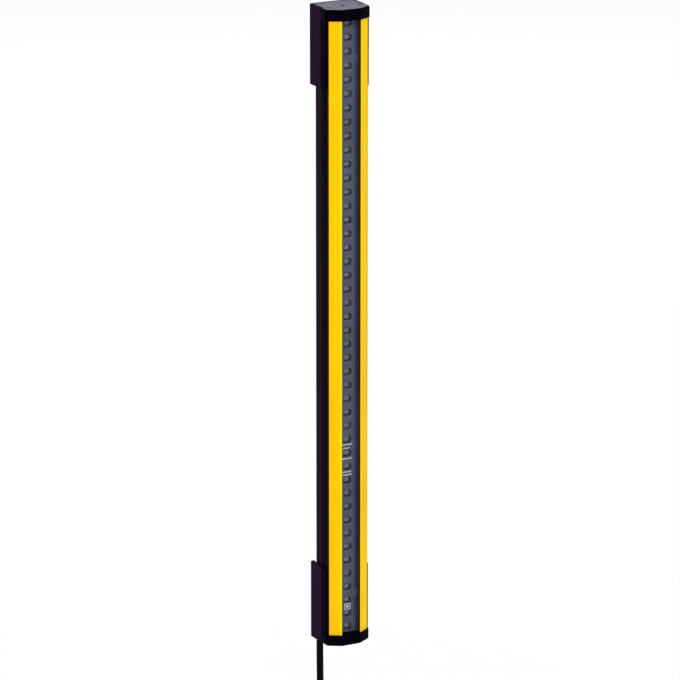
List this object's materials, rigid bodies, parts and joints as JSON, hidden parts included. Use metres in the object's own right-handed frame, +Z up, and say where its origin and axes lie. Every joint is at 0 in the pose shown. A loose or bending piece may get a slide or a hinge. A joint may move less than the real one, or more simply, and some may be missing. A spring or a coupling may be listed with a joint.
{
  "type": "safety light curtain",
  "caption": "Slim safety light curtain bar with yellow edge strips, a row of recessed lenses behind a clear window, two-part end brackets and a hanging pigtail with a round plug.",
  "frame": {"origin": "midway between the two bracket screw holes, in the plane of the brackets' back faces", "axes": "+Z up along the bar, -Y out of the front with the lenses, +X to the right seen from the front"},
  "size_m": [0.0353, 0.0317, 0.6205],
  "materials": {
    "housing_paint": "satin",
    "strip_yellow": "satin",
    "window_clear": "gloss",
    "seal_rubber": "matte",
    "module_black": "satin",
    "lens_clear": "gloss",
    "board_green": "satin",
    "diode_clear": "gloss",
    "electronics_black": "matte",
    "socket_white": "satin",
    "light_pipe_clear": "gloss",
    "cap_plastic": "satin",
    "bracket_plastic": "satin",
    "gasket_rubber": "matte",
    "screw_steel": "satin",
    "cable_jacket": "satin",
    "core_insulation": "satin",
    "plug_plastic": "satin",
    "plug_metal": "satin",
    "pin_gold": "gloss"
  },
  "bodies": {
    "root": {"housing_profile": "housing_paint", "yellow_strip_left": "strip_yellow", "yellow_strip_right": "strip_yellow", "front_window": "window_clear", "window_seal_left": "seal_rubber", "window_seal_right": "seal_rubber", "lens_module_1": "module_black", "lens_module_2": "module_black", "lens_module_3": "module_black", "lens_module_4": "module_black", "lens_module_5": "module_black", "lens_module_6": "module_black", "lens_module_7": "module_black", "lens_module_8": "module_black", "lens_module_9": "module_black", "lens_plate_1": "lens_clear", "lens_plate_2": "lens_clear", "lens_plate_3": "lens_clear", "lens_plate_4": "lens_clear", "lens_plate_5": "lens_clear", "lens_plate_6": "lens_clear", "lens_plate_7": "lens_clear", "lens_plate_8": "lens_clear", "lens_plate_9": "lens_clear", "status_light_pipes": "light_pipe_clear", "circuit_board_1": "board_green", "circuit_board_2": "board_green", "circuit_board_3": "board_green", "beam_diodes": "diode_clear", "control_chips": "electronics_black", "board_links": "electronics_black", "power_capacitors": "electronics_black", "lead_socket": "socket_white", "top_end_cap": "cap_plastic", "top_gasket": "gasket_rubber", "top_cap_screws": "screw_steel", "top_bracket_shoe": "bracket_plastic", "top_bracket_slide": "bracket_plastic", "bottom_end_cap": "cap_plastic", "bottom_gasket": "gasket_rubber", "bottom_cap_screws": "screw_steel", "bottom_bracket_shoe": "bracket_plastic", "bottom_bracket_slide": "bracket_plastic", "cable_bush": "gasket_rubber", "cable_tail": "cable_jacket", "cable_cores": "core_insulation", "pigtail_cable": "cable_jacket", "connector_grip": "plug_plastic", "connector_nut": "plug_metal", "connector_insert": "plug_plastic", "connector_pins": "pin_gold"}
  },
  "joints": []
}
